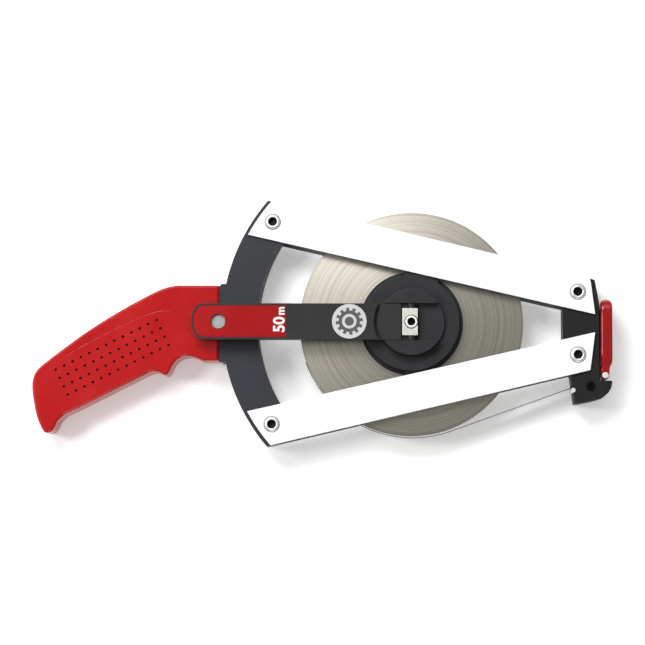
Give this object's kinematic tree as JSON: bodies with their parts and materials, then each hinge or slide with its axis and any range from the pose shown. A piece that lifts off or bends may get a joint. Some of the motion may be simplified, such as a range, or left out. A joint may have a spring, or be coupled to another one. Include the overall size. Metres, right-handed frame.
{
  "type": "open frame measuring tape reel",
  "caption": "Long steel tape on an open-frame reel with a bent grip, white side struts, a flip-over crank and a finger ring on the tape's end.",
  "frame": {"origin": "where the reel's axis meets the surface that the frame lies on, which is the outer face of the back cover", "axes": "+Z along the reel's axis towards the crank, +X towards the tape's mouth, +Y across the frame"},
  "size_m": [0.3874, 0.1648, 0.0417],
  "materials": {
    "grip": "red moulded plastic, semi-gloss, with a dimpled pad",
    "bow": "slate grey moulded plastic, fine grain",
    "struts": "aluminium strip, smooth white coating",
    "rivets": "bright plated steel",
    "screws": "zinc plated steel",
    "mouth": "black moulded plastic",
    "hub": "charcoal moulded plastic, satin",
    "bush": "turned bronze",
    "tape": "bare stainless steel band, edges of the wound turns",
    "crank": "charcoal moulded plastic, satin",
    "label": "red printed inlay",
    "medallion": "white printed disc",
    "knob": "red moulded plastic",
    "ring": "glossy red moulded plastic"
  },
  "bodies": {
    "frame": {"rear_bow": "bow", "handle_front_shell": "grip", "handle_back_shell": "grip", "handle_screw_1": "screws", "handle_screw_2": "screws", "handle_screw_3": "screws", "strut_front_upper": "struts", "strut_front_lower": "struts", "strut_back_upper": "struts", "strut_back_lower": "struts", "rivet_rear_upper": "rivets", "rivet_rear_lower": "rivets", "rivet_front_upper": "rivets", "rivet_front_lower": "rivets", "mouth_front_shell": "mouth", "mouth_back_shell": "mouth", "mouth_screw": "mouth", "tape_guide_pin": "rivets", "bearing_plate_front": "hub", "bearing_plate_back": "hub", "axle_bush": "bush", "back_cover": "hub"},
    "reel": {"spool": "hub", "tape_anchor_pin": "screws", "tape_coil": "tape", "hub_cap": "hub", "hinge_block": "rivets", "axle": "rivets", "axle_clip": "screws", "pivot_pin_upper": "screws", "pivot_pin_lower": "screws"},
    "crank": {"crank_arm": "crank", "crank_label": "label", "crank_medallion": "medallion"},
    "knob_core": {"knob_spindle": "crank", "knob_plug": "screws"},
    "knob_grip": {"knob_sleeve": "knob"},
    "tape_end": {"tape_run": "tape", "tape_end_fitting": "rivets", "ring_pin": "rivets"},
    "finger_ring": {"end_ring": "ring"}
  },
  "joints": [
    {"name": "reel_spin", "type": "hinge", "parent": "frame", "child": "reel", "pos_m": [0, 0, 0.0155], "axis": [0, 0, 1], "range_deg": [0, 360]},
    {"name": "tape_pull", "type": "slide", "parent": "frame", "child": "tape_end", "axis": [0.9403, 0.3404, 0], "range_m": [0, 0.4715], "deforming": ["tape_run"]},
    {"name": "ring_swing", "type": "hinge", "parent": "tape_end", "child": "finger_ring", "pos_m": [0.1291, -0.03462, 0.0155], "axis": [0, 0, 1], "range_deg": [-90, 0]},
    {"name": "crank_flip", "type": "hinge", "parent": "reel", "child": "crank", "pos_m": [0, 0, 0.0365], "axis": [0, 1, 0], "range_deg": [0, 180]},
    {"name": "knob_pull", "type": "slide", "parent": "crank", "child": "knob_core", "axis": [0, 0, -1], "range_m": [0, 0.0065]},
    {"name": "knob_spin", "type": "hinge", "parent": "knob_core", "child": "knob_grip", "pos_m": [-0.1283, 0, 0.035], "axis": [0, 0, 1], "continuous": true}
  ],
  "couplings": [
    {"joint": "tape_pull", "follows": "reel_spin", "m_per_rad": 0.075}
  ]
}
